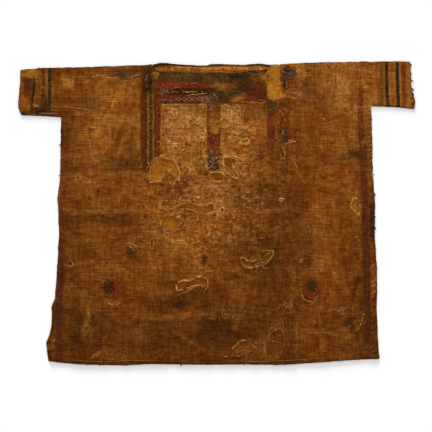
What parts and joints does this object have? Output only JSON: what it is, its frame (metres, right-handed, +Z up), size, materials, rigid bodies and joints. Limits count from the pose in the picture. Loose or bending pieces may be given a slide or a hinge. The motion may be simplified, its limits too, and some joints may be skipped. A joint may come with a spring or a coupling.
{
  "type": "coptic tunic laid flat",
  "caption": "Woven wool tunic laid flat, with short sleeves, a neck slit, worn tapestry bands and discs, and rips that show a support cloth.",
  "frame": {"origin": "centre of the laid tunic's footprint, on the surface that it rests on", "axes": "+X along the sleeves towards the right of the view, +Y from the hem to the neck, +Z up out of the front"},
  "size_m": [1.4993, 1.1498, 0.0071],
  "materials": {
    "wool": "plain-woven wool, golden brown with darker stains, matt",
    "support": "smooth ochre support cloth, matt",
    "madder_wool": "dark red and purple tapestry weave, worn",
    "dark_wool": "green-black tapestry weave with red and pale threads, worn"
  },
  "bodies": {
    "root": {"back_body": "wool", "support_cloth": "support", "neck_binding": "dark_wool", "front_body": "wool", "sleeve_left_front": "wool", "sleeve_left_back": "wool", "sleeve_right_front": "wool", "sleeve_right_back": "wool", "yoke": "dark_wool", "clavus_left": "madder_wool", "clavus_right": "madder_wool", "centre_strip": "madder_wool", "shoulder_ornament": "dark_wool", "roundel_left": "madder_wool", "roundel_right": "madder_wool"}
  },
  "joints": []
}
